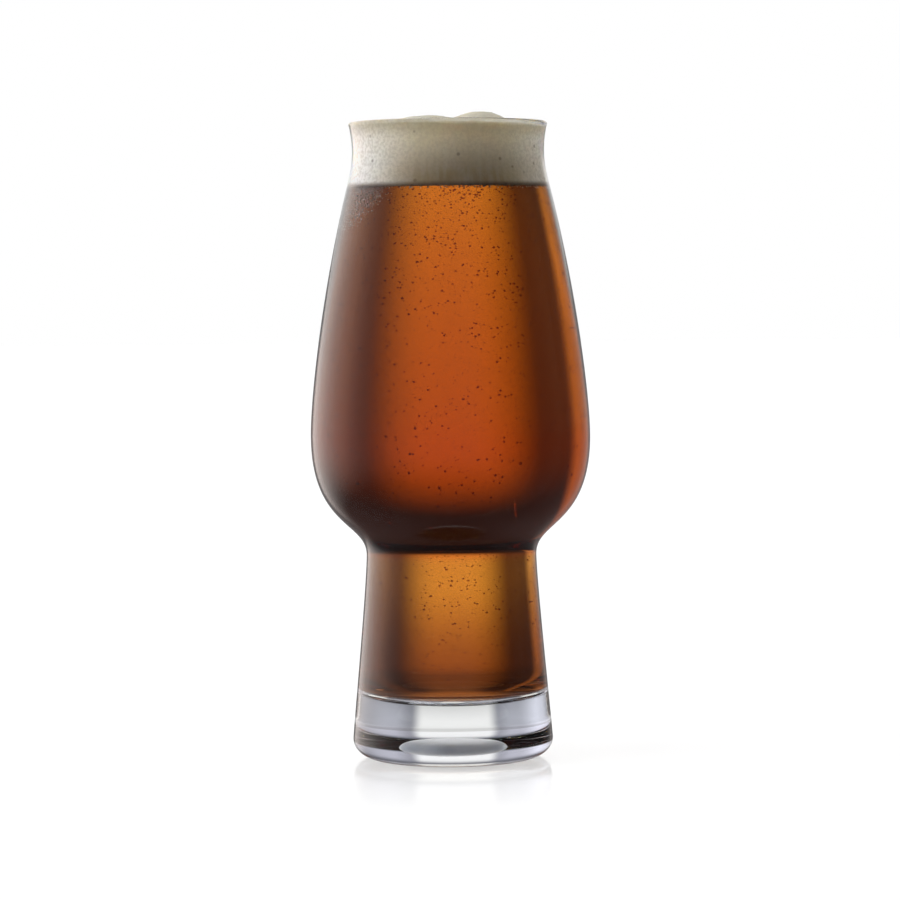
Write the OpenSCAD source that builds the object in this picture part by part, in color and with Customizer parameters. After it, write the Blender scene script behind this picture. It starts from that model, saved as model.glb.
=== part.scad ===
// Footed beer glass with a tulip bowl, filled with amber beer under a head of foam.
// Millimetres. The origin is on the table under the middle of the glass, and +Z is up.

/* [Bowl] */
// Height of the glass from the table to the top of its lip
glass_h = 186; // [154:1:222]
// Diameter of the bowl where it is widest
belly_d = 81.8; // [66:0.2:98]
// Height of the widest place of the bowl above the waist
belly_rise = 34.6; // [32:0.2:42]
// How long the wall stays near its full width below the widest place
belly_round_low = 26.3; // [20:0.1:30]
// How long the wall stays near its full width above the widest place
belly_round_high = 12; // [8:0.5:20]
// How long the straight run of the shoulder is below the neck
shoulder_run = 31.8; // [20:0.1:38]
// Angle of the shoulder to the upright
shoulder_angle = 14.4; // [10:0.1:18]

/* [Neck and lip] */
// Diameter of the neck where it is narrowest
neck_d = 56; // [46:0.5:66]
// Depth of the narrowest place of the neck below the top of the lip
neck_drop = 8.5; // [6:0.5:12]
// Radius of the hollow curve of the neck, from the shoulder out to the lip
neck_curve_r = 32; // [24:1:50]

/* [Foot] */
// Diameter of the foot where it is widest, just above the table
foot_d = 58.7; // [50:0.1:70]
// Width of the rounded heel, from the side of the foot in to the standing ring
heel_w = 7; // [4:0.1:9]
// Height of the rounded heel above the table
heel_h = 5.7; // [4:0.1:9]
// Angle of the side of the foot to the upright, just above the heel
foot_angle = 4.5; // [1:0.5:7]
// How long the side of the foot keeps that angle above the heel
foot_flare_run = 8; // [4:0.5:20]
// Diameter of the waist between foot and bowl
waist_d = 49.8; // [42:0.2:56]
// Height of the waist above the table
waist_h = 59.8; // [50:0.2:72]
// How long the side of the foot runs upright below the waist
waist_run_low = 7.5; // [4:0.5:16]
// How long the waist keeps its width above, before it opens into the bowl
waist_run_high = 9.5; // [6:0.5:12]
// Width of the flat ring on which the glass stands
standing_ring_w = 2; // [1:0.25:4]
// Rise of the underside from the standing ring to the edge of the punt
underside_rise = 1; // [0.4:0.1:2]
// Diameter of the punt, the round hollow in the middle of the underside
punt_d = 22.4; // [18:0.2:30]
// Height of the top of the punt above the table
punt_h = 5.2; // [3:0.1:8]
// How far the top of the punt stays nearly flat before it rounds down
punt_flat_r = 9; // [6:0.5:10]
// Angle of the side of the punt to the upright
punt_draft = 14; // [5:1:30]

/* [Glass walls] */
// Thickness of the lip and of the wall at the neck
wall_lip = 1.3; // [1:0.1:2]
// Thickness of the wall where the bowl is widest
wall_belly = 1.5; // [1:0.1:2.5]
// Thickness of the wall at the waist
wall_waist = 2.1; // [1.4:0.1:3.2]
// Thickness of the wall low in the foot
wall_foot = 2.8; // [1.8:0.1:4]
// Height of the inner floor in its middle, which is the thickness of the base
floor_h = 16.3; // [12:0.1:20]
// Height of the rounded corner between the inner floor and the wall
floor_corner_h = 8; // [5:0.5:12]
// How far down the wall keeps its slope before it rounds in to the floor
floor_corner_run = 7; // [3:0.5:7.5]
// How far out the inner floor runs flat before it rounds up to the wall
floor_flat_r = 24; // [14:0.5:25]

/* [Drink] */
// Depth of the foam, from the top of the lip down to the beer
foam_depth = 19; // [12:0.2:50]
// Film between the drink and the inner wall
film_gap = 0.05; // [0.02:0.01:0.2]
// How far the crown of the foam stands above the lip
foam_rise = 0.8; // [0:0.1:4]
// Radius of the low dome that the top of the foam makes
foam_dome_r = 260; // [120:10:320]
// How far the crown of the foam lies to the left of the middle
foam_lean = 4; // [0:0.5:8]
// Width of the large mound where it leaves the crown of the foam
mound_d = 15; // [10:0.5:20]
// How far the large mound stands above the crown
mound_rise = 1.9; // [0.8:0.1:5]
// Place of the large mound to the right of the middle
mound_right = 9.6; // [0:0.1:12]
// Place of the large mound in front of the middle
mound_front = 7; // [0:0.5:10]
// Width of the small mound where it leaves the crown of the foam
small_mound_d = 15; // [8:0.5:18]
// How far the small mound stands above the crown
small_mound_rise = 0.5; // [0.4:0.1:3]
// Place of the small mound to the left of the middle
small_mound_left = 6; // [0:0.5:12]
// Place of the small mound in front of the middle
small_mound_front = 16; // [0:0.5:18]

/* [Hidden] */
$fn = 96;

// How many short steps stand for each round stretch of the outline
curve_steps = 20;
heel_steps = 10;
lip_steps = 8;

// Heights that follow from the sizes above
neck_h = glass_h - neck_drop;
belly_h = waist_h + belly_rise;
beer_h = glass_h - foam_depth;
crown_h = glass_h + foam_rise;

// Places on the outside of the glass, as [radius, height]
heel_centre = [foot_d / 2 - heel_w, heel_h];
heel_end = atan(tan(foot_angle) * heel_h / heel_w);
flank_low = heel_centre + [heel_w * cos(heel_end), heel_h * sin(heel_end)];
flank_dir = [-sin(foot_angle), cos(foot_angle)];
waist = [waist_d / 2, waist_h];
belly = [belly_d / 2, belly_h];
neck_centre = [neck_d / 2 + neck_curve_r, neck_h];
shoulder = neck_point(-shoulder_angle);
shoulder_dir = [sin(shoulder_angle), -cos(shoulder_angle)];

// The lip is a half round on the end of the neck's curve, and its top is at glass_h
lip_r = wall_lip / 2;
lip_share = lip_r / neck_curve_r;
lip_start_h = (glass_h - lip_r + lip_share * neck_h) / (1 + lip_share);
lip_angle = asin((lip_start_h - neck_h) / neck_curve_r);
lip_normal = [cos(lip_angle), -sin(lip_angle)];
lip_centre = neck_point(lip_angle) - lip_r * lip_normal;

// The underside rises from the standing ring to the edge of the punt
ring_inner_r = heel_centre[0] - standing_ring_w;
punt_mid = [0, punt_h];
punt_edge = [punt_d / 2, underside_rise];
punt_wall_run = 0.88 * (punt_h - underside_rise);
punt_wall_dir = [-sin(punt_draft), cos(punt_draft)];

function unit(v) = v / norm(v);

// Radius of the sphere whose cap has this width and height
function cap_sphere_r(width, height) = (width * width / 4 + height * height) / (2 * height);

// A point on the hollow curve of the neck, turned by angle from its narrowest place
function neck_point(angle) = neck_centre + neck_curve_r * [-cos(angle), sin(angle)];

// A round or oval arc about a centre from one angle to another, with both its ends
function arc(centre, across, up, from, to, steps) = [
    for (i = [0:steps])
    let (angle = from + (to - from) * i / steps)
    centre + [across * cos(angle), up * sin(angle)]
];

// A smooth curve from a to d that leaves towards b and arrives from c, without its first point
function curve(a, b, c, d) = [
    for (i = [1:curve_steps])
    let (t = i / curve_steps, s = 1 - t)
    s * s * s * a + 3 * s * s * t * b + 3 * s * t * t * c + t * t * t * d
];

// The outside of the wall, from the top of the heel up to the lip
wall_outside = concat(
    [flank_low],
    curve(flank_low, flank_low + foot_flare_run * flank_dir, waist - [0, waist_run_low], waist),
    curve(waist, waist + [0, waist_run_high], belly - [0, belly_round_low], belly),
    curve(belly, belly + [0, belly_round_high], shoulder + shoulder_run * shoulder_dir, shoulder),
    [
        for (i = [1:curve_steps])
        neck_point(-shoulder_angle + (lip_angle + shoulder_angle) * i / curve_steps)
    ]
);
last_point = len(wall_outside) - 1;

// How thick the wall is at a height on the outside
function wall_at(h) = lookup(h, [
    [floor_h, wall_foot],
    [waist_h, wall_waist],
    [belly_h, wall_belly],
    [neck_h, wall_lip],
]);

// The way out of the glass at a point of the wall's outside
function outward(i) =
    let (along = unit(wall_outside[min(i + 1, last_point)] - wall_outside[max(i - 1, 0)]))
    i == last_point ? lip_normal : [along[1], -along[0]];

// The inside of the wall from the floor's corner up to the lip, set in further by a gap
function wall_inside(gap) = [
    for (i = [0:last_point])
    let (p = wall_outside[i] - (wall_at(wall_outside[i][1]) + gap) * outward(i))
    if (p[1] > floor_h + floor_corner_h) p
];

// The whole inside from the middle of the floor up to the lip, set in by a gap
function inside(gap) =
    let (
        wall = wall_inside(gap),
        down_wall = unit(wall[0] - wall[1]),
        floor_mid = [0, floor_h + gap],
        floor_edge = floor_mid + [floor_flat_r, 0]
    )
    concat(
        [floor_mid],
        curve(floor_mid, floor_edge, wall[0] + floor_corner_run * down_wall, wall[0]),
        [for (i = [1:len(wall) - 1]) wall[i]]
    );

// The side of the drink, and its radius at a height
drink_side = wall_inside(film_gap);
function drink_r(h) = lookup(h, [for (p = drink_side) [p[1], p[0]]]);

// One piece of clear glass: bowl, neck, lip, hollow foot and solid base
module glass() {
    punt_shoulder = punt_mid + [punt_flat_r, 0];
    punt = curve(punt_mid, punt_shoulder, punt_edge + punt_wall_run * punt_wall_dir, punt_edge);
    heel = arc(heel_centre, heel_w, heel_h, -90, heel_end, heel_steps);
    wall = [for (i = [1:last_point]) wall_outside[i]];
    lip = arc(lip_centre, lip_r, lip_r, -lip_angle, 180 - lip_angle, lip_steps);
    cavity = inside(0);
    color("aliceblue", 0.35)
        rotate_extrude()
            polygon(concat(
                [punt_mid],
                punt,
                [[ring_inner_r, 0]],
                heel,
                wall,
                [for (i = [1:lip_steps - 1]) lip[i]],
                [for (i = [len(cavity) - 1:-1:0]) cavity[i]]
            ));
}

// The beer fills the hollow foot and the bowl up to the foam
module beer() {
    wetted = [for (p = inside(film_gap)) if (p[1] < beer_h) p];
    color("sienna", 0.85)
        rotate_extrude()
            polygon(concat(wetted, [[drink_r(beer_h), beer_h], [0, beer_h]]));
}

// A rounded heap on the crown of the foam, by its width and its height above the crown
module mound(width, rise) {
    r = cap_sphere_r(width, rise);
    translate([0, 0, crown_h + rise - r])
        sphere(r);
}

// The head of foam: the neck's fill under a low leaning dome with two mounds
module foam_head() {
    side = [for (p = drink_side) if (p[1] > beer_h && p[1] < glass_h - lip_r) p];
    mouth_r = side[len(side) - 1][0];
    top_h = crown_h + mound_rise + small_mound_rise;
    color("cornsilk")
        intersection() {
            rotate_extrude()
                polygon(concat(
                    [[0, beer_h], [drink_r(beer_h), beer_h]],
                    side,
                    [[mouth_r, top_h], [0, top_h]]
                ));
            union() {
                translate([-foam_lean, 0, crown_h - foam_dome_r])
                    sphere(foam_dome_r);
                translate([mound_right, -mound_front, 0])
                    mound(mound_d, mound_rise);
                translate([-small_mound_left, -small_mound_front, 0])
                    mound(small_mound_d, small_mound_rise);
            }
        }
}

glass();
beer();
foam_head();
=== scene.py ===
"""A footed beer glass with a tulip bowl, full of amber beer under a head of foam, on a white table."""
import random
from math import asin, atan, atan2, cos, hypot, pi, radians, sin, sqrt, tan

import bmesh
import bpy
import numpy as np
from mathutils import Matrix, Vector, noise
from mathutils.geometry import interpolate_bezier


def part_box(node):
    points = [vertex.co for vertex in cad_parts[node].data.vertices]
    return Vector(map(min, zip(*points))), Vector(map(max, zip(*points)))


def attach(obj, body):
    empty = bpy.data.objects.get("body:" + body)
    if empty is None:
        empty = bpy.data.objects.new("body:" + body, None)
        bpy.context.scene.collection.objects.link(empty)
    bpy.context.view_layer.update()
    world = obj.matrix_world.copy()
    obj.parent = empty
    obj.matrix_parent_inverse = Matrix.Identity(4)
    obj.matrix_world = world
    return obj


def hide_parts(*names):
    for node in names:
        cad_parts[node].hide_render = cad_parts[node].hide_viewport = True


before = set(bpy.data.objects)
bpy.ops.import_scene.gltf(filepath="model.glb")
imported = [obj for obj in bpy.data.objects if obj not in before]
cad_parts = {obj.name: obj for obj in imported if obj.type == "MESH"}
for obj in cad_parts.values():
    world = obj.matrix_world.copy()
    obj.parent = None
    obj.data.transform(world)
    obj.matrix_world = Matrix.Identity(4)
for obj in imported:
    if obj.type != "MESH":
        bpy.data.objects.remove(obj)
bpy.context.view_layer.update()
MM = 0.001

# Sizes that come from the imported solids
GLASS_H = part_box("glass")[1].z
BELLY_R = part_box("glass")[1].x
BEER_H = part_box("beer")[1].z

# Outside of the glass
WAIST_R = 24.9 * MM
WAIST_H = 59.8 * MM
WAIST_RUN_LOW = 7.5 * MM
WAIST_RUN_HIGH = 9.5 * MM
BELLY_RISE = 34.6 * MM
BELLY_H = WAIST_H + BELLY_RISE
BELLY_ROUND_LOW = 26.3 * MM
BELLY_ROUND_HIGH = 12.0 * MM
SHOULDER_RUN = 31.8 * MM
SHOULDER_ANGLE = radians(14.4)
NECK_R = 28.0 * MM
NECK_DROP = 8.5 * MM
NECK_H = GLASS_H - NECK_DROP
NECK_CURVE_R = 32.0 * MM
FOOT_R = 29.35 * MM
HEEL_W = 7.0 * MM
HEEL_H = 5.7 * MM
FOOT_ANGLE = radians(4.5)
FOOT_FLARE_RUN = 8.0 * MM

# Underside of the glass, with the hollow punt in its middle
STANDING_RING_W = 2.0 * MM
PUNT_R = 11.2 * MM
PUNT_H = 5.2 * MM
PUNT_EDGE_H = 1.0 * MM
PUNT_FLAT_R = 9.0 * MM
PUNT_WALL_RUN = 3.7 * MM
PUNT_DRAFT = radians(14)

# Walls and inner floor
WALL_LIP = 1.3 * MM
WALL_BELLY = 1.5 * MM
WALL_WAIST = 2.1 * MM
WALL_FOOT = 2.8 * MM
FLOOR_H = 16.3 * MM
FLOOR_CORNER_H = 8.0 * MM
FLOOR_CORNER_RUN = 7.0 * MM
FLOOR_FLAT_R = 24.0 * MM

# The drink wets the glass: its skin lies this far inside the wall, so no air shows between them
BEER_CONTACT = 0.25 * MM
FOAM_CONTACT = 0.20 * MM
FOAM_SUNK = 0.30 * MM

# How finely the round shapes are stepped
TURN_STEPS = 160
CURVE_STEPS = 36
HEEL_STEPS = 24
LIP_STEPS = 16

# Points closer than this are merged, and a face no further than this below the floor is part of it
SAME_POINT = 0.001 * MM
SAME_FACE = 0.01 * MM


def at(radius, height):
    """A point of an outline, on the right-hand side of the axis."""
    return Vector((radius, 0.0, height))


def about_axis(radius, turn, height):
    """A point at a distance from the axis, turned about it."""
    return Vector((radius * cos(turn), radius * sin(turn), height))


def arc(centre, across, up, start, end, steps):
    """Points on a round or oval arc from one angle to another, with both its ends."""
    angles = [start + (end - start) * i / steps for i in range(steps + 1)]
    return [centre + at(across * cos(a), up * sin(a)) for a in angles]


def curve(start, towards, arriving, end):
    """Points on a smooth curve, without its first one."""
    return list(interpolate_bezier(start, towards, arriving, end, CURVE_STEPS + 1))[1:]


def neck_point(angle):
    """A point on the hollow curve of the neck, turned by angle from its narrowest place."""
    return at(NECK_R + NECK_CURVE_R, NECK_H) + NECK_CURVE_R * at(-cos(angle), sin(angle))


# The lip is a half round on the end of the neck's curve
LIP_R = WALL_LIP / 2
LIP_SHARE = LIP_R / NECK_CURVE_R
LIP_START_H = (GLASS_H - LIP_R + LIP_SHARE * NECK_H) / (1 + LIP_SHARE)
LIP_ANGLE = asin((LIP_START_H - NECK_H) / NECK_CURVE_R)
LIP_CENTRE = neck_point(LIP_ANGLE) - LIP_R * at(cos(LIP_ANGLE), -sin(LIP_ANGLE))

# The heel is a quarter oval that runs into the side of the foot
HEEL_CENTRE = at(FOOT_R - HEEL_W, HEEL_H)
HEEL_END = atan(tan(FOOT_ANGLE) * HEEL_H / HEEL_W)
HEEL = arc(HEEL_CENTRE, HEEL_W, HEEL_H, -pi / 2, HEEL_END, HEEL_STEPS)


def wall_outside():
    """The outside of the wall from the top of the heel up to the lip."""
    flank = HEEL[-1]
    up_flank = at(-sin(FOOT_ANGLE), cos(FOOT_ANGLE))
    waist = at(WAIST_R, WAIST_H)
    belly = at(BELLY_R, BELLY_H)
    shoulder = neck_point(-SHOULDER_ANGLE)
    down_shoulder = at(sin(SHOULDER_ANGLE), -cos(SHOULDER_ANGLE))
    turn = (LIP_ANGLE + SHOULDER_ANGLE) / CURVE_STEPS
    points = [flank]
    points += curve(flank, flank + FOOT_FLARE_RUN * up_flank, waist - at(0, WAIST_RUN_LOW), waist)
    points += curve(waist, waist + at(0, WAIST_RUN_HIGH), belly - at(0, BELLY_ROUND_LOW), belly)
    points += curve(belly, belly + at(0, BELLY_ROUND_HIGH),
                    shoulder + SHOULDER_RUN * down_shoulder, shoulder)
    points += [neck_point(turn * i - SHOULDER_ANGLE) for i in range(1, CURVE_STEPS + 1)]
    return points


OUTSIDE = wall_outside()


def wall_at(height):
    """Thickness of the wall at a height on its outside."""
    heights = [FLOOR_H, WAIST_H, BELLY_H, NECK_H]
    return float(np.interp(height, heights, [WALL_FOOT, WALL_WAIST, WALL_BELLY, WALL_LIP]))


def wall_inside(gap):
    """The inside of the wall from the floor's corner up to the lip, set in further by a gap."""
    last = len(OUTSIDE) - 1
    points = []
    for i, p in enumerate(OUTSIDE):
        along = (OUTSIDE[min(i + 1, last)] - OUTSIDE[max(i - 1, 0)]).normalized()
        inner = p - (wall_at(p.z) + gap) * at(along.z, -along.x)
        if inner.z > FLOOR_H + FLOOR_CORNER_H:
            points.append(inner)
    return points


def inside(gap):
    """The whole inside from the middle of the floor up to the lip, set in by a gap."""
    wall = wall_inside(gap)
    down_wall = (wall[0] - wall[1]).normalized()
    middle = at(0, FLOOR_H + gap)
    arriving = wall[0] + FLOOR_CORNER_RUN * down_wall
    return [middle] + curve(middle, middle + at(FLOOR_FLAT_R, 0), arriving, wall[0]) + wall[1:]


INSIDE = inside(0)
INSIDE_HEIGHTS = [p.z for p in INSIDE]
INSIDE_RADII = [p.x for p in INSIDE]


def inner_r(height):
    """Radius of the inside of the glass at a height."""
    return np.interp(height, INSIDE_HEIGHTS, INSIDE_RADII)


class Graph:
    """A node tree, with short calls for the nodes used here."""

    def __init__(self, tree):
        self.tree = tree
        self.tree.nodes.clear()

    def node(self, kind, sockets=None, **settings):
        """A new node with its settings, and with its sockets set or linked."""
        made = self.tree.nodes.new("ShaderNode" + kind)
        for name, value in settings.items():
            setattr(made, name, value)
        for name, value in (sockets or {}).items():
            self.put(made.inputs[name], value)
        return made

    def put(self, socket, value):
        """Sets a socket to a plain value, or links another socket to it."""
        if isinstance(value, bpy.types.NodeSocket):
            self.tree.links.new(value, socket)
        else:
            socket.default_value = value

    def math(self, operation, a, b=0.0):
        """One operation on one or two numbers."""
        return self.node("Math", {0: a, 1: b}, operation=operation).outputs[0]

    def times(self, first, *others):
        """The product of some numbers."""
        for other in others:
            first = self.math("MULTIPLY", first, other)
        return first

    def plus(self, first, *others):
        """The sum of some numbers."""
        for other in others:
            first = self.math("ADD", first, other)
        return first

    def rest(self, share):
        """What a share leaves of 1."""
        return self.math("SUBTRACT", 1.0, share)

    def ramp(self, value, low, high):
        """Rises smoothly from 0 at low to 1 at high, or falls where low is the larger."""
        sockets = {"Value": value, "From Min": low, "From Max": high}
        return self.node("MapRange", sockets, interpolation_type="SMOOTHSTEP").outputs[0]

    def mix(self, share, a, b, blend="MIX"):
        """A colour between a and b."""
        sockets = {0: share, 6: a, 7: b}
        return self.node("Mix", sockets, data_type="RGBA", blend_type=blend).outputs[2]

    def tint(self, colour, by):
        """A colour times another colour or a level."""
        return self.mix(1.0, colour, by, "MULTIPLY")

    def noise(self, place, scale, detail=2.0):
        """Soft noise at a place."""
        return self.node("TexNoise", {"Vector": place, "Scale": scale, "Detail": detail}).outputs[0]

    def bump(self, height, strength, distance):
        """A surface direction that follows a height."""
        sockets = {"Height": height, "Strength": strength, "Distance": distance}
        return self.node("Bump", sockets).outputs[0]

    def place(self):
        """Where on the piece a point is, in metres."""
        return self.node("TexCoord").outputs["Object"]

    def shader(self, kind, sockets):
        """What a shader node gives."""
        return self.node(kind, sockets).outputs[0]

    def sum_of(self, first, *others):
        """The sum of some shaders."""
        for other in others:
            first = self.shader("AddShader", {0: first, 1: other})
        return first

    def between(self, share, a, b):
        """A shader between a and b."""
        return self.shader("MixShader", {0: share, 1: a, 2: b})


def rgb(red, green, blue):
    """An opaque colour."""
    return (red, green, blue, 1.0)


def grey(level):
    """An opaque grey."""
    return rgb(level, level, level)


WHITE = grey(1.0)
BLACK = grey(0.0)


def new_material(name):
    """A material with an empty node tree and the sockets of its output."""
    material = bpy.data.materials.new(name)
    material.use_nodes = True
    graph = Graph(material.node_tree)
    return material, graph, graph.node("OutputMaterial").inputs


# How strongly glass and beer bend light
GLASS_IOR = 1.52
BEER_IOR = 1.34

# The satin punt: its two greys, dark and bluish as a painted reflection of the dark it mirrors, and
# the pale band low on its side, a painted highlight
SATIN_DARK = rgb(0.35, 0.40, 0.49)
SATIN_LIGHT = rgb(0.46, 0.52, 0.62)
SATIN_HIGHLIGHT = rgb(0.90, 0.92, 0.95)
SATIN_HIGHLIGHT_TOP = PUNT_EDGE_H + 2.2 * MM
SATIN_HIGHLIGHT_FULL = PUNT_EDGE_H + 0.8 * MM


def clear_glass(name, wetted=False):
    """Clear glass with the slight waves of a blown wall, faintly cool where it is thick.
    Where beer wets it, its face mirrors almost nothing, and the tint is left to the dry faces."""
    material, graph, out = new_material(name)
    waves = graph.noise(graph.place(), scale=70.0, detail=1.0)
    graph.put(out["Surface"], graph.shader("BsdfPrincipled", {
        "Base Color": WHITE, "Roughness": 0.0, "IOR": GLASS_IOR, "Transmission Weight": 1.0,
        "Specular Tint": BLACK if wetted else WHITE,
        "Normal": graph.bump(waves, strength=0.25, distance=0.04 * MM),
    }))
    if not wetted:
        cool = {"Color": rgb(0.90, 0.92, 0.95), "Density": 8.0}
        graph.put(out["Volume"], graph.shader("VolumeAbsorption", cool))
    return material


def satin_glass():
    """The moulded punt, which is satin and not polished like the rest: cloudy grey, dark as a painted
    reflection, and pale low down as a painted highlight.
    """
    material, graph, out = new_material("satin_glass")
    place = graph.place()
    height = graph.node("SeparateXYZ", {0: place}).outputs["Z"]
    cloud = graph.ramp(graph.noise(place, scale=160.0), low=0.35, high=0.65)
    # painted reflection: the punt's cloudy greys are dark and bluish like the dark it mirrors
    colour = graph.mix(cloud, SATIN_DARK, SATIN_LIGHT)
    # painted highlight: the punt turns pale low on its side
    colour = graph.mix(graph.ramp(height, SATIN_HIGHLIGHT_TOP, SATIN_HIGHLIGHT_FULL), colour, SATIN_HIGHLIGHT)
    graph.put(out["Surface"], graph.shader("BsdfPrincipled", {
        "Base Color": colour, "Roughness": 0.35, "IOR": GLASS_IOR, "Transmission Weight": 0.25,
        "Sheen Weight": 0.8, "Sheen Roughness": 0.35,
    }))
    return material


def amber_beer():
    """Clear red-amber beer: a deep layer takes nearly all blue and most green."""
    material, graph, out = new_material("amber_beer")
    graph.put(out["Surface"], graph.shader("BsdfPrincipled", {
        "Base Color": WHITE, "Roughness": 0.0, "IOR": BEER_IOR, "Transmission Weight": 1.0,
        "Specular Tint": BLACK,
    }))
    amber = {"Color": rgb(0.88, 0.645, 0.10), "Density": 100.0}
    graph.put(out["Volume"], graph.shader("VolumeAbsorption", amber))
    return material


def bubble_gas():
    """Gas in the beer, which bends light only a little; its brown tint is painted shade for the dark
    rim a bubble shows.
    """
    material, graph, out = new_material("bubble_gas")
    # painted shade: the brown tint darkens each bubble in place of the dark rim that a bubble shows by
    # bending light
    graph.put(out["Surface"], graph.shader("BsdfPrincipled", {
        "Base Color": rgb(0.60, 0.40, 0.28), "Roughness": 0.0, "IOR": 1.08,
        "Transmission Weight": 1.0, "Specular Tint": BLACK,
    }))
    return material


# Tones of the foam: cream in its middle, pale at its sides as painted light, tan low in its middle as
# damp foam and painted shade, and tan on its crown as painted shade
FOAM_CREAM = rgb(0.92, 0.85, 0.66)
FOAM_SIDE_LIGHT = rgb(0.96, 0.95, 0.92)
FOAM_WET_AND_SHADE = rgb(0.38, 0.29, 0.17)
FOAM_CROWN_SHADE = rgb(0.46, 0.43, 0.34)
FOAM_MIDDLE = 4 * MM
FOAM_SIDE_LIGHT_START = 8 * MM
FOAM_SIDE_LIGHT_FULL = 30 * MM
FOAM_WET_SHADE_TOP = GLASS_H - 5 * MM
FOAM_WET_SHADE_FULL = BEER_H + 1 * MM
FOAM_CROWN_SHADE_START = GLASS_H - 6 * MM
FOAM_CROWN_SHADE_FULL = GLASS_H + 0.5 * MM

# The lowest foam is dark brown, partly as foam soaked with beer and partly as painted shade for the
# dark line along the beer's surface, but the beads below it on the wall aren't
FOAM_SOAKED_AND_SHADE = rgb(0.13, 0.075, 0.045)
FOAM_SOAKED_SHADE_H = 1.5 * MM
FOAM_SOAKED_SHADE_SHARE = 0.8

# Fine marks in the foam: upright pale streaks that are painted highlights, grain and pores
STREAK_HIGHLIGHT = rgb(0.86, 0.84, 0.76)
STREAK_STRETCH = (1.0, 1.0, 0.12)
STREAK_HIGHLIGHT_SHARE = 0.12
GRAIN_COLOUR = rgb(0.30, 0.26, 0.19)
GRAIN_SHARE = 0.14
GRAIN_MORE_AT_SIDES = 0.20
PORE_COLOUR = rgb(0.20, 0.15, 0.10)
PORE_SHARE = 0.55


def foam_tone(graph, parts, pale):
    """The colour of the foam by its place, with painted light at its sides and painted shade low in
    its middle and on its crown.
    """
    height = parts["Z"]
    # painted shade: darker tan low in the middle of the foam, partly damp foam and partly shade
    wet_and_shade = graph.times(graph.ramp(height, FOAM_WET_SHADE_TOP, FOAM_WET_SHADE_FULL), graph.rest(pale))
    # painted light: the foam is paler towards its left and right sides
    colour = graph.mix(pale, FOAM_CREAM, FOAM_SIDE_LIGHT)
    colour = graph.mix(wet_and_shade, colour, FOAM_WET_AND_SHADE)
    # painted shade: the crown is darker tan
    return graph.mix(graph.ramp(height, FOAM_CROWN_SHADE_START, FOAM_CROWN_SHADE_FULL), colour, FOAM_CROWN_SHADE)


def foam_marks(graph, place, parts, pale, colour):
    """The colour of the foam with its painted highlight streaks, its dark edge that is soaked foam and
    painted shade, grain and pores.
    """
    drawn = graph.node("Mapping", {"Vector": place, "Scale": STREAK_STRETCH}).outputs[0]
    # painted highlight: pale upright streaks over the foam
    highlight_streak = graph.ramp(graph.noise(drawn, scale=620.0, detail=3.0), low=0.35, high=0.70)
    colour = graph.mix(graph.times(highlight_streak, STREAK_HIGHLIGHT_SHARE), colour, STREAK_HIGHLIGHT)

    # dark brown at the bottom of the foam: partly soaked foam, partly painted shade
    soaked = graph.ramp(parts["Z"], BEER_H + FOAM_SOAKED_SHADE_H, BEER_H)
    not_lacing = graph.ramp(parts["Z"], BEER_H - FOAM_SOAKED_SHADE_H, BEER_H - FOAM_SUNK)
    colour = graph.mix(graph.times(soaked, not_lacing, FOAM_SOAKED_SHADE_SHARE), colour, FOAM_SOAKED_AND_SHADE)

    grain = graph.ramp(graph.noise(place, scale=1100.0, detail=4.0), low=0.62, high=0.36)
    grain_share = graph.plus(graph.times(pale, GRAIN_MORE_AT_SIDES), GRAIN_SHARE)
    colour = graph.mix(graph.times(grain, grain_share), colour, GRAIN_COLOUR)

    cells = graph.node("TexVoronoi", {"Vector": place, "Scale": 330.0}).outputs
    hole = graph.ramp(cells["Distance"], low=0.22, high=0.10)
    number = graph.node("SeparateColor", {0: cells["Color"]}).outputs[0]
    picked = graph.ramp(number, low=0.72, high=0.80)
    return graph.mix(graph.times(hole, picked, PORE_SHARE), colour, PORE_COLOUR)


def cream_foam():
    """Fine foam: cream, with painted light at its sides, tan towards the beer as damp foam and painted
    shade, tan on its crown as painted shade, with grain, pores and faint streaks of painted highlight.
    """
    material, graph, out = new_material("cream_foam")
    place = graph.place()
    parts = graph.node("SeparateXYZ", {0: place}).outputs
    off_middle = graph.math("ABSOLUTE", graph.math("SUBTRACT", parts["X"], FOAM_MIDDLE))
    # painted light: how far the paleness of the sides reaches
    pale = graph.ramp(off_middle, FOAM_SIDE_LIGHT_START, FOAM_SIDE_LIGHT_FULL)
    tone = foam_tone(graph, parts, pale)
    froth = graph.node("TexVoronoi", {"Vector": place, "Scale": 1500.0}).outputs["Distance"]
    graph.put(out["Surface"], graph.shader("BsdfPrincipled", {
        "Base Color": foam_marks(graph, place, parts, pale, tone),
        "Roughness": 0.75, "IOR": BEER_IOR, "Specular IOR Level": 0.3, "Subsurface Weight": 1.0,
        "Subsurface Radius": (1.0, 0.85, 0.62), "Subsurface Scale": 6.0 * MM,
        "Normal": graph.bump(froth, strength=0.35, distance=0.15 * MM),
    }))
    return material


def piece(name, bm, material, node=None):
    """A finished piece of the object: its mesh is smooth and outward, and it rides with the glass."""
    bmesh.ops.recalc_face_normals(bm, faces=bm.faces)
    mesh = bpy.data.meshes.new(name)
    bm.to_mesh(mesh)
    bm.free()
    mesh.shade_smooth()
    mesh.materials.append(material)
    made = bpy.data.objects.new(name, mesh)
    bpy.context.scene.collection.objects.link(made)
    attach(made, "root")
    if node:
        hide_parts(node)
    return made


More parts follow.
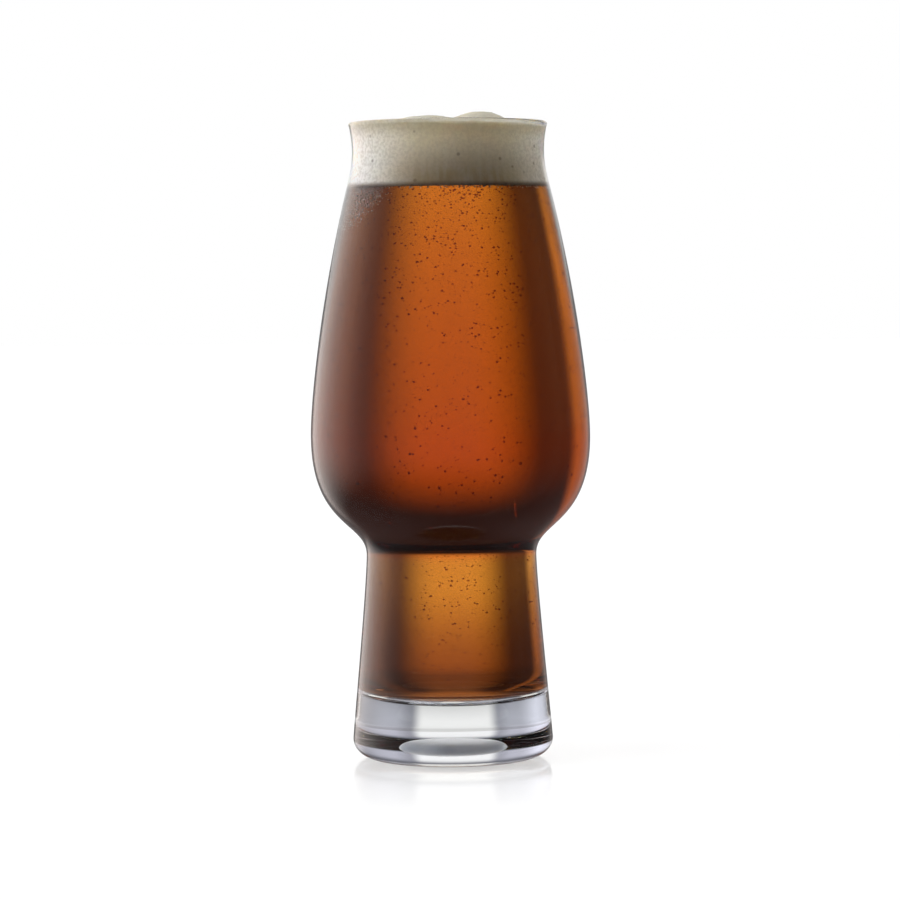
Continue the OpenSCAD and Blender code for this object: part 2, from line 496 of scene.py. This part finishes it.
def revolved(outline):
    """The shape that an outline sweeps in a full turn about the axis."""
    bm = bmesh.new()
    corners = [bm.verts.new(p) for p in outline]
    sides = [bm.edges.new(pair) for pair in zip(corners, corners[1:])]
    bmesh.ops.spin(bm, geom=corners + sides, cent=(0, 0, 0), axis=(0, 0, 1), angle=2 * pi,
                   steps=TURN_STEPS, use_merge=True)
    bmesh.ops.remove_doubles(bm, verts=bm.verts, dist=SAME_POINT)
    return bm


def make_glass(dry, wetted, satin):
    """One piece of glass: punt, standing ring, heel, foot, waist, bowl, neck, lip and hollow."""
    top = at(0, PUNT_H)
    edge = at(PUNT_R, PUNT_EDGE_H)
    up_wall = PUNT_WALL_RUN * at(-sin(PUNT_DRAFT), cos(PUNT_DRAFT))
    punt = [top] + curve(top, top + at(PUNT_FLAT_R, 0), edge + up_wall, edge)
    ring = at(HEEL_CENTRE.x - STANDING_RING_W, 0)
    lip = arc(LIP_CENTRE, LIP_R, LIP_R, -LIP_ANGLE, pi - LIP_ANGLE, LIP_STEPS)
    bm = revolved(punt + [ring] + HEEL + OUTSIDE[1:] + lip[1:-1] + INSIDE[::-1])
    finishes = [dry, wetted, satin]
    for face in bm.faces:
        middle = face.calc_center_median()
        away = hypot(middle.x, middle.y)
        inner = away < inner_r(middle.z) + WALL_LIP / 2
        if inner and FLOOR_H - SAME_FACE < middle.z < BEER_H:
            face.material_index = finishes.index(wetted)
        elif away < PUNT_R and middle.z < FLOOR_H:
            face.material_index = finishes.index(satin)
    made = piece("glass", bm, dry, "glass")
    for finish in finishes[1:]:
        made.data.materials.append(finish)


def make_beer(material):
    """The beer, from the inner floor of the foot up to the foam."""
    wetted = [p for p in inside(-BEER_CONTACT) if p.z < BEER_H]
    outline = wetted + [at(inner_r(BEER_H) + BEER_CONTACT, BEER_H), at(0, BEER_H)]
    piece("beer", revolved(outline), material, "beer")


# The top of the foam: a low dome whose crown leans to the left, drawn down a little at the wall
CROWN_H = GLASS_H + 0.8 * MM
FOAM_LEAN = 4.0 * MM
FOAM_DOME_R = 260.0 * MM
FOAM_EDGE_W = 1.4 * MM
FOAM_EDGE_DROP = 0.05 * MM
FOAM_MOUTH_H = GLASS_H - 2 * MM

# Heaps on the crown: right of the middle, in front of it, width and rise
MOUNDS = [
    (9.6 * MM, 7.0 * MM, 15.0 * MM, 1.9 * MM),
    (-6.0 * MM, 16.0 * MM, 15.0 * MM, 0.5 * MM),
    (-12.0 * MM, -10.0 * MM, 20.0 * MM, 0.4 * MM),
    (8.0 * MM, -14.0 * MM, 17.0 * MM, 0.5 * MM),
]

# A heap reaches out from its middle by this share of its width, and ends softly
MOUND_REACH = 0.62
MOUND_EASE = 1.5

# Unevenness of the top: height and closeness of each layer
FOAM_UNEVEN = [(0.20 * MM, 190.0), (0.08 * MM, 620.0)]

# How finely the drum of foam is stepped below, up its side and over its top, and where its rim starts
FOAM_BASE_STEPS = 6
FOAM_SIDE_STEPS = 26
FOAM_TOP_STEPS = 64
DRUM_RIM = 0.9999


def foam_top(x, y):
    """Height of the foam's surface above the table."""
    height = CROWN_H - (hypot(x + FOAM_LEAN, y) ** 2) / (2 * FOAM_DOME_R)
    for right, front, width, rise in MOUNDS:
        away = hypot(x - right, y + front) / (MOUND_REACH * width)
        if away < 1:
            swell = (1 - away * away) ** MOUND_EASE
            height += swell * max(0.0, CROWN_H + rise - height)
    place = Vector((x, y, 0.0))
    for rise, closeness in FOAM_UNEVEN:
        height += rise * noise.noise(place * closeness)
    return height


def make_foam(material):
    """The head of foam: a drum that is drawn out to the wall, with a heaped top."""
    drum = [at(i / FOAM_BASE_STEPS, 0) for i in range(FOAM_BASE_STEPS + 1)]
    drum += [at(1, i / FOAM_SIDE_STEPS) for i in range(1, FOAM_SIDE_STEPS + 1)]
    drum += [at(1 - i / FOAM_TOP_STEPS, 1) for i in range(1, FOAM_TOP_STEPS + 1)]
    bm = revolved(drum)
    base = BEER_H - FOAM_SUNK
    mouth = inner_r(FOAM_MOUTH_H)
    for v in bm.verts:
        across = hypot(v.co.x, v.co.y)
        up = v.co.z
        turn = atan2(v.co.y, v.co.x)
        edge = foam_top(mouth * cos(turn), mouth * sin(turn)) - FOAM_EDGE_DROP
        if up < 1 or across > DRUM_RIM:
            z = base + up * (edge - base)
            r = across * (inner_r(z) + FOAM_CONTACT)
        else:
            r = across * (inner_r(edge) + FOAM_CONTACT)
            z = foam_top(r * cos(turn), r * sin(turn))
            near = min(1.0, (1 - across) * mouth / FOAM_EDGE_W)
            z = edge + (z - edge) * sqrt(near * (2 - near))
        v.co = about_axis(r, turn, z)
    piece("foam_head", bm, material, "foam_head")


def bead_shape():
    """A small round bubble with few faces, of radius 1."""
    bm = bmesh.new()
    bmesh.ops.create_uvsphere(bm, u_segments=8, v_segments=5, radius=1.0)
    mesh = bpy.data.meshes.new("bead")
    bm.to_mesh(mesh)
    bm.free()
    return mesh


BEAD = bead_shape()


def add_bead(bm, place, radius):
    """Adds one round bubble to a mesh."""
    bead = BEAD.copy()
    bead.transform(Matrix.Translation(place) @ Matrix.Scale(radius, 4))
    bm.from_mesh(bead)
    bpy.data.meshes.remove(bead)


# Gas bubbles: most are small, and most hang high in the beer
BUBBLE_COUNT = 3000
BUBBLE_R = 0.10 * MM
BUBBLE_EXTRA_R = 0.21 * MM
BUBBLE_FEW_LARGE = 2.5
BUBBLE_TOP = BEER_H - 1.2 * MM
BUBBLE_SPAN = BEER_H - FLOOR_H - 8 * MM
BUBBLE_FEW_DEEP = 1.6
BUBBLE_REACH = 0.88


def make_bubbles(material):
    """Gas bubbles that hang in the beer, closer together towards the foam."""
    draw = random.Random(11)
    bm = bmesh.new()
    for _ in range(BUBBLE_COUNT):
        z = BUBBLE_TOP - draw.random() ** BUBBLE_FEW_DEEP * BUBBLE_SPAN
        radius = BUBBLE_R + BUBBLE_EXTRA_R * draw.random() ** BUBBLE_FEW_LARGE
        reach = BUBBLE_REACH * inner_r(max(z, FLOOR_H + FLOOR_CORNER_H))
        turn = draw.uniform(0, 2 * pi)
        r = reach * sqrt(draw.random())
        add_bead(bm, about_axis(r, turn, z), radius)
    piece("bubbles", bm, material)


# Lacing: a patch at the left that thins out downwards, and a row all round under the head
# The patch starts at a turn in degrees, and hangs less far down as it goes round to the front
PATCH_COUNT = 1500
PATCH_TURN = 204
PATCH_ROUND = 22
PATCH_SCATTER = 4
PATCH_DROP = 13 * MM
PATCH_DROP_LESS = 9 * MM
PATCH_THINS = 1.7
PATCH_R = (0.07 * MM, 0.20 * MM)
ROW_COUNT = 900
ROW_DROP = 0.9 * MM
ROW_THINS = 2
ROW_R = (0.10 * MM, 0.26 * MM)
LACING_IN_WALL = 0.1 * MM


def make_lacing(material):
    """Beads of foam that cling to the inside of the wall at the left, and all round under the head."""
    draw = random.Random(5)
    bm = bmesh.new()

    def cling(turn, z, radius):
        """Adds a bead to the inside of the wall."""
        add_bead(bm, about_axis(inner_r(z) + LACING_IN_WALL, turn, z), radius)

    for _ in range(PATCH_COUNT):
        round_front = draw.random()
        turn = radians(PATCH_TURN + PATCH_ROUND * round_front + draw.gauss(0, PATCH_SCATTER))
        drop = PATCH_DROP - PATCH_DROP_LESS * round_front
        z = BEER_H - drop * draw.random() ** PATCH_THINS
        cling(turn, z, draw.uniform(*PATCH_R))
    for _ in range(ROW_COUNT):
        turn = draw.uniform(0, 2 * pi)
        z = BEER_H - ROW_DROP * draw.random() ** ROW_THINS
        cling(turn, z, draw.uniform(*ROW_R))
    piece("lacing", bm, material)


# Larger bubbles on the crown: most are small, and each is sunk by a share of its radius
FROTH_COUNT = 170
FROTH_REACH = 25.5 * MM
FROTH_R = 0.12 * MM
FROTH_EXTRA_R = 0.38 * MM
FROTH_FEW_LARGE = 3
FROTH_SUNK = 0.55


def make_froth(material):
    """Larger bubbles that stand half out of the top of the foam."""
    draw = random.Random(23)
    bm = bmesh.new()
    for _ in range(FROTH_COUNT):
        turn = draw.uniform(0, 2 * pi)
        place = about_axis(FROTH_REACH * sqrt(draw.random()), turn, 0.0)
        radius = FROTH_R + FROTH_EXTRA_R * draw.random() ** FROTH_FEW_LARGE
        place.z = foam_top(place.x, place.y) - FROTH_SUNK * radius
        add_bead(bm, place, radius)
    piece("froth", bm, material)


# A ray that has crossed more faces than this has been through the drink
CLEAR_FACES = 4.5

# Through the drink: a soft white panel at each quarter turn, in a dim room that is darker high up
QUARTER = radians(90)
PANEL_SHIFT = radians(1.0)
PANEL_HALF = radians(13.0)
PANEL_SOFT = radians(8.5)
PANEL_TOP = radians(-2)
PANEL_FADED = radians(16)
PANEL_FOOT = radians(-9)
PANEL_UNDER = radians(-15)
PANEL_COLOUR = rgb(1.19, 1.17, 1.15)
ROOM_DARK = rgb(0.190, 0.140, 0.122)
ROOM_HIGH = rgb(0.040, 0.036, 0.034)
ROOM_UNDER = 0.45

# Halfway between the panels the room is lighter, more so low down, and on one side far up too
HALFWAY_SHIFT = radians(6)
HALFWAY_START = radians(28)
HALFWAY_FULL = radians(38)
HALFWAY_LEVEL = 0.60
HALFWAY_LEAN = -0.36
HALFWAY_TINT = rgb(1.0, 0.82, 0.70)
HALFWAY_LOW = radians(-10)
HALFWAY_LOWEST = radians(-13)
HALFWAY_MORE = 0.8
HIGHER_START = radians(12)
HIGHER_FULL = radians(-12)
HALFWAY_HIGHER = radians(60)

# Higher up, what shows through the drink is redder
RED_START = radians(-9)
RED_FULL = radians(0)
RED_TINT = rgb(1.0, 0.76, 1.0)

# Through clear base and lip: pale walls beside the panel, dusk above them and the table below
# As the base shows them, the walls are dim beside the panel, brighter at the right, duller at the left
CLEAR_HALF = radians(16)
CLEAR_SOFT = radians(3.0)
SEAM_FAR = radians(27)
SEAM_LEVEL = 0.62
RIGHT_START = radians(-30)
RIGHT_FULL = radians(-52)
RIGHT_MORE = 0.9
LEFT_START = radians(30)
LEFT_FULL = radians(52)
LEFT_LESS = 0.25
PALE_TOP = radians(9)
PALE_FADED = radians(26)
PALE_GREY = rgb(0.54, 0.54, 0.62)
DUSK = rgb(0.165, 0.175, 0.205)
DUSK_FADED = radians(46)
HORIZON_SOFT = radians(1)
TABLE_FAR = radians(-3.0)
TABLE_NEAR = radians(-11.5)
TABLE_GREY_FAR = rgb(0.54, 0.54, 0.60)
TABLE_GREY_NEAR = rgb(0.45, 0.46, 0.515)
TABLE_PANEL_FAR = rgb(0.99, 0.99, 0.97)
TABLE_PANEL_NEAR = rgb(0.94, 0.94, 0.92)

# Mirrored by the glass: a large soft light at the left behind it shows as a pale band
SIDE_LIGHT_TURN = radians(-38)
SIDE_LIGHT_HALF = radians(42)
SIDE_LIGHT_SOFT = radians(43)
SIDE_LIGHT_COLOUR = rgb(1.72, 1.56, 1.48)
GLOSS_LEFT = rgb(0.30, 0.27, 0.26)
GLOSS_RIGHT = grey(0.06)
GLOSS_RIGHT_START = 0.2
GLOSS_RIGHT_FULL = 0.95
GLOSS_LOW = radians(-4)
GLOSS_DARK = radians(-34)
GLOSS_UNDER = rgb(0.13, 0.10, 0.10)

# Straight behind, the mirrored room is dark up to just above the horizon, and then white
EDGE_HALF = radians(22)
EDGE_SOFT = radians(5)
EDGE_DARK = rgb(0.28, 0.27, 0.27)
EDGE_TOP = radians(2)
BACK_HALF = radians(27)
BACK_SOFT = radians(10)
BACK_LOW = radians(5)

# Plain light on matt surfaces, stronger from the back and weaker from high up
PLAIN_LEVEL = 0.62
PLAIN_LEAN = Vector((-0.10, 0.72, 0.0))
PLAIN_HIGH = 0.40
PLAIN_HIGH_START = radians(25)
PLAIN_HIGH_FULL = radians(60)

# A lamp on each side lights matt surfaces too
LAMP_HALF = radians(30)
LAMP_SOFT = radians(14)
LAMP_LOW = radians(-2)
LAMP_FULL = radians(10)
LAMP_TOP = radians(25)
LAMP_FADED = radians(45)
LEFT_LAMP_TURN = radians(-104)
LEFT_LAMP = 8.0
RIGHT_LAMP_TURN = radians(80)
RIGHT_LAMP = 3.7


class Studio(Graph):
    """The world's node tree, with the compass turn and the rise of each direction."""

    def __init__(self, tree):
        super().__init__(tree)
        self.way = self.node("TexCoord").outputs["Generated"]
        parts = self.node("SeparateXYZ", {0: self.way}).outputs
        self.right = parts["X"]
        self.turn = self.math("ARCTAN2", parts["X"], parts["Y"])
        self.rise = self.math("ARCSINE", parts["Z"])

    def off_quarter(self, shift):
        """How far a direction, once shifted, lies from the nearest quarter turn."""
        return self.math("PINGPONG", self.plus(self.turn, shift), QUARTER / 2)

    def panel(self, half, soft):
        """1 on the panel of each quarter turn and 0 beside it, with a soft edge."""
        return self.ramp(self.off_quarter(PANEL_SHIFT), half + soft, half - soft)

    def lobe(self, middle, half, soft):
        """1 round about one direction of the compass and 0 away from it, with a soft edge."""
        away = self.math("ABSOLUTE", self.math("SUBTRACT", self.turn, middle))
        return self.ramp(away, half + soft, half - soft)


def seen_through_drink(studio):
    """What rays meet that have been through the beer: panels, and lighter strips in a dim room."""
    turn, rise = studio.turn, studio.rise
    halfway = studio.ramp(studio.off_quarter(HALFWAY_SHIFT), HALFWAY_START, HALFWAY_FULL)
    uneven = studio.times(studio.math("SINE", studio.times(turn, 2.0)), HALFWAY_LEAN)
    more = studio.times(studio.ramp(rise, HALFWAY_LOW, HALFWAY_LOWEST), HALFWAY_MORE)
    level = studio.times(studio.plus(uneven, HALFWAY_LEVEL), studio.plus(more, 1.0))
    beside = studio.mix(halfway, ROOM_DARK, studio.tint(HALFWAY_TINT, level))
    colour = studio.mix(studio.panel(PANEL_HALF, PANEL_SOFT), beside, PANEL_COLOUR)

    one_side = studio.ramp(turn, HIGHER_START, HIGHER_FULL)
    faded = studio.plus(studio.times(halfway, one_side, HALFWAY_HIGHER), PANEL_FADED)
    colour = studio.mix(studio.ramp(rise, PANEL_TOP, faded), colour, ROOM_HIGH)
    under = studio.times(studio.ramp(rise, PANEL_UNDER, PANEL_FOOT), 1 - ROOM_UNDER)
    colour = studio.tint(colour, studio.plus(under, ROOM_UNDER))
    return studio.mix(studio.ramp(rise, RED_START, RED_FULL), colour, studio.tint(colour, RED_TINT))


def seen_through_clear(studio):
    """What rays meet that have been through clear glass alone: panels, pale walls and the table."""
    turn, rise = studio.turn, studio.rise
    panel = studio.panel(CLEAR_HALF, CLEAR_SOFT)
    seam = studio.ramp(studio.off_quarter(0.0), SEAM_FAR, CLEAR_HALF)
    seam_level = studio.rest(studio.times(seam, 1 - SEAM_LEVEL))
    right_wall = studio.times(studio.ramp(turn, RIGHT_START, RIGHT_FULL), RIGHT_MORE)
    left_wall = studio.times(studio.ramp(turn, LEFT_START, LEFT_FULL), -LEFT_LESS)
    level = studio.plus(seam_level, right_wall, left_wall)

    walls = studio.mix(panel, studio.tint(PALE_GREY, level), WHITE)
    dusk = studio.mix(studio.ramp(rise, PALE_FADED, DUSK_FADED), DUSK, ROOM_HIGH)
    walls = studio.mix(studio.ramp(rise, PALE_FADED, PALE_TOP), dusk, walls)
    near = studio.ramp(rise, TABLE_FAR, TABLE_NEAR)
    table_grey = studio.tint(studio.mix(near, TABLE_GREY_FAR, TABLE_GREY_NEAR), level)
    table_panel = studio.mix(near, TABLE_PANEL_FAR, TABLE_PANEL_NEAR)
    table = studio.mix(panel, table_grey, table_panel)
    return studio.mix(studio.ramp(rise, -HORIZON_SOFT, HORIZON_SOFT), table, walls)


def seen_in_gloss(studio):
    """What the faces of the glass mirror: a soft light at the left in a dim room."""
    rise = studio.rise
    to_right = studio.ramp(studio.right, GLOSS_RIGHT_START, GLOSS_RIGHT_FULL)
    colour = studio.mix(to_right, GLOSS_LEFT, GLOSS_RIGHT)
    side = studio.lobe(SIDE_LIGHT_TURN, SIDE_LIGHT_HALF, SIDE_LIGHT_SOFT)
    colour = studio.mix(side, colour, SIDE_LIGHT_COLOUR)
    upward = studio.ramp(rise, EDGE_TOP, BACK_LOW)
    edge = studio.times(studio.lobe(0.0, EDGE_HALF, EDGE_SOFT), studio.rest(upward))
    colour = studio.mix(edge, colour, EDGE_DARK)
    not_high = studio.ramp(rise, PALE_FADED, PALE_TOP)
    back = studio.times(studio.lobe(0.0, BACK_HALF, BACK_SOFT), not_high, upward)
    colour = studio.mix(back, colour, WHITE)
    return studio.mix(studio.ramp(rise, GLOSS_LOW, GLOSS_DARK), colour, GLOSS_UNDER)


def plain_light(studio):
    """Light on matt surfaces: even light that leans to the back, and a lamp on each side."""
    rise = studio.rise
    lean = studio.node("VectorMath", {0: studio.way, 1: PLAIN_LEAN}, operation="DOT_PRODUCT")
    even = studio.math("MAXIMUM", studio.plus(lean.outputs["Value"], PLAIN_LEVEL), 0.0)
    high = studio.ramp(rise, PLAIN_HIGH_START, PLAIN_HIGH_FULL)
    even = studio.times(even, studio.rest(studio.times(high, 1 - PLAIN_HIGH)))
    left = studio.times(studio.lobe(LEFT_LAMP_TURN, LAMP_HALF, LAMP_SOFT), LEFT_LAMP)
    right = studio.times(studio.lobe(RIGHT_LAMP_TURN, LAMP_HALF, LAMP_SOFT), RIGHT_LAMP)
    from_below = studio.ramp(rise, LAMP_LOW, LAMP_FULL)
    to_above = studio.ramp(rise, LAMP_FADED, LAMP_TOP)
    return studio.plus(even, studio.times(studio.plus(left, right), from_below, to_above))


def make_world():
    """The studio: white to the camera, panels and dim gaps to glass, plain light on matt things."""
    world = bpy.data.worlds.new("studio")
    bpy.context.scene.world = world
    world.use_nodes = True
    studio = Studio(world.node_tree)

    # What is shown depends on the way a ray has come, so no ray is aimed at the world
    world.cycles.sampling_method = "NONE"
    path = studio.node("LightPath").outputs
    left_matt = studio.math("MINIMUM", path["Diffuse Depth"], 1.0)
    shiny = studio.times(path["Is Glossy Ray"], studio.rest(left_matt))
    in_glass = studio.math("MINIMUM", path["Transmission Depth"], 1.0)
    in_drink = studio.math("GREATER_THAN", path["Transmission Depth"], CLEAR_FACES)
    seen = studio.mix(in_glass, seen_in_gloss(studio), seen_through_clear(studio))
    seen = studio.mix(in_drink, seen, seen_through_drink(studio))
    colour = studio.mix(shiny, plain_light(studio), seen)
    colour = studio.mix(path["Is Camera Ray"], colour, WHITE)
    light = studio.shader("Background", {"Color": colour, "Strength": 1.0})
    studio.node("OutputWorld", {"Surface": light})


# The table top lies a little below the foot, glossy near the glass and plain white further off
TABLE_HALF = 6.0
TABLE_DROP = 0.1 * MM
SHINE_NEAR = 35 * MM
SHINE_FAR = 125 * MM
TABLE_MATT = grey(0.22)
TABLE_SHINE = grey(0.36)
TABLE_SHINE_ROUGH = 0.12
TABLE_BRIGHT = 0.83
TABLE_DULL = 0.49
TABLE_TO_MATT = grey(0.6)

# Rays that come out of the glass pass the table, dimmed by how far from the glass they meet it
# Those from the drink are dimmed near the glass, and those from the clear base further out
DRINK_SHADE = rgb(0.50, 0.34, 0.34)
DRINK_SHADE_NEAR = 130 * MM
DRINK_SHADE_FAR = 360 * MM
BASE_SHADE = grey(0.70)
BASE_SHADE_NEAR = 56 * MM
BASE_SHADE_FAR = 90 * MM


def table_white():
    """White, slightly glossy near the glass, and clear to rays that come out of the glass."""
    material, graph, out = new_material("table_white")
    away = graph.node("VectorMath", {0: graph.place()}, operation="LENGTH").outputs["Value"]
    matt = graph.shader("BsdfDiffuse", {"Color": TABLE_MATT})
    bright = graph.shader("Emission", {"Color": WHITE, "Strength": TABLE_BRIGHT})
    dull = graph.shader("Emission", {"Color": WHITE, "Strength": TABLE_DULL})
    shine = graph.shader("BsdfGlossy", {"Color": TABLE_SHINE, "Roughness": TABLE_SHINE_ROUGH})
    near = graph.ramp(away, SHINE_FAR, SHINE_NEAR)
    to_camera = graph.between(near, graph.sum_of(matt, bright), graph.sum_of(matt, dull, shine))
    to_matt = graph.shader("Emission", {"Color": TABLE_TO_MATT, "Strength": 1.0})
    path = graph.node("LightPath").outputs
    shown = graph.between(path["Is Camera Ray"], to_matt, to_camera)

    in_drink = graph.math("GREATER_THAN", path["Transmission Depth"], CLEAR_FACES)
    by_drink = graph.mix(graph.ramp(away, DRINK_SHADE_NEAR, DRINK_SHADE_FAR), DRINK_SHADE, WHITE)
    by_base = graph.mix(graph.ramp(away, BASE_SHADE_NEAR, BASE_SHADE_FAR), WHITE, BASE_SHADE)
    dimmed = graph.mix(in_drink, by_base, by_drink)
    passed = graph.shader("BsdfTransparent", {"Color": dimmed})
    graph.put(out["Surface"], graph.between(path["Is Transmission Ray"], shown, passed))
    return material


def make_floor():
    """The table top, which keeps the shadow and a faint reflection of the glass."""
    bm = bmesh.new()
    bmesh.ops.create_grid(bm, x_segments=1, y_segments=1, size=TABLE_HALF,
                          matrix=Matrix.Translation((0, 0, -TABLE_DROP)))
    mesh = bpy.data.meshes.new("floor")
    bm.to_mesh(mesh)
    bm.free()
    mesh.materials.append(table_white())
    floor = bpy.data.objects.new("floor", mesh)
    bpy.context.scene.collection.objects.link(floor)
    floor.visible_glossy = False


# The photograph's view
CAMERA_SENSOR = 36.0
CAMERA_LENS = 136.68
CAMERA_PLACE = (-0.18 * MM, -1.0, 142 * MM)
CAMERA_TILT = radians(90 - 2.965)
CAMERA_ROLL = radians(-0.515)


def make_camera():
    """The camera, in front of the glass, a little above its middle and with a slight roll."""
    data = bpy.data.cameras.new("camera")
    data.sensor_width = CAMERA_SENSOR
    data.lens = CAMERA_LENS
    camera = bpy.data.objects.new("camera", data)
    camera.matrix_world = (Matrix.Translation(CAMERA_PLACE)
                           @ Matrix.Rotation(CAMERA_TILT, 4, "X")
                           @ Matrix.Rotation(CAMERA_ROLL, 4, "Z"))
    bpy.context.scene.collection.objects.link(camera)
    bpy.context.scene.camera = camera


scene = bpy.context.scene
scene.view_settings.view_transform = "Standard"

# Light crosses many faces of glass and drink before it leaves them
scene.cycles.max_bounces = 28
scene.cycles.transmission_bounces = 28
scene.cycles.glossy_bounces = 12

foam_material = cream_foam()
make_glass(clear_glass("clear_glass"), clear_glass("wetted_glass", wetted=True), satin_glass())
make_beer(amber_beer())
make_foam(foam_material)
make_bubbles(bubble_gas())
make_lacing(foam_material)
make_froth(foam_material)
make_world()
make_floor()
make_camera()
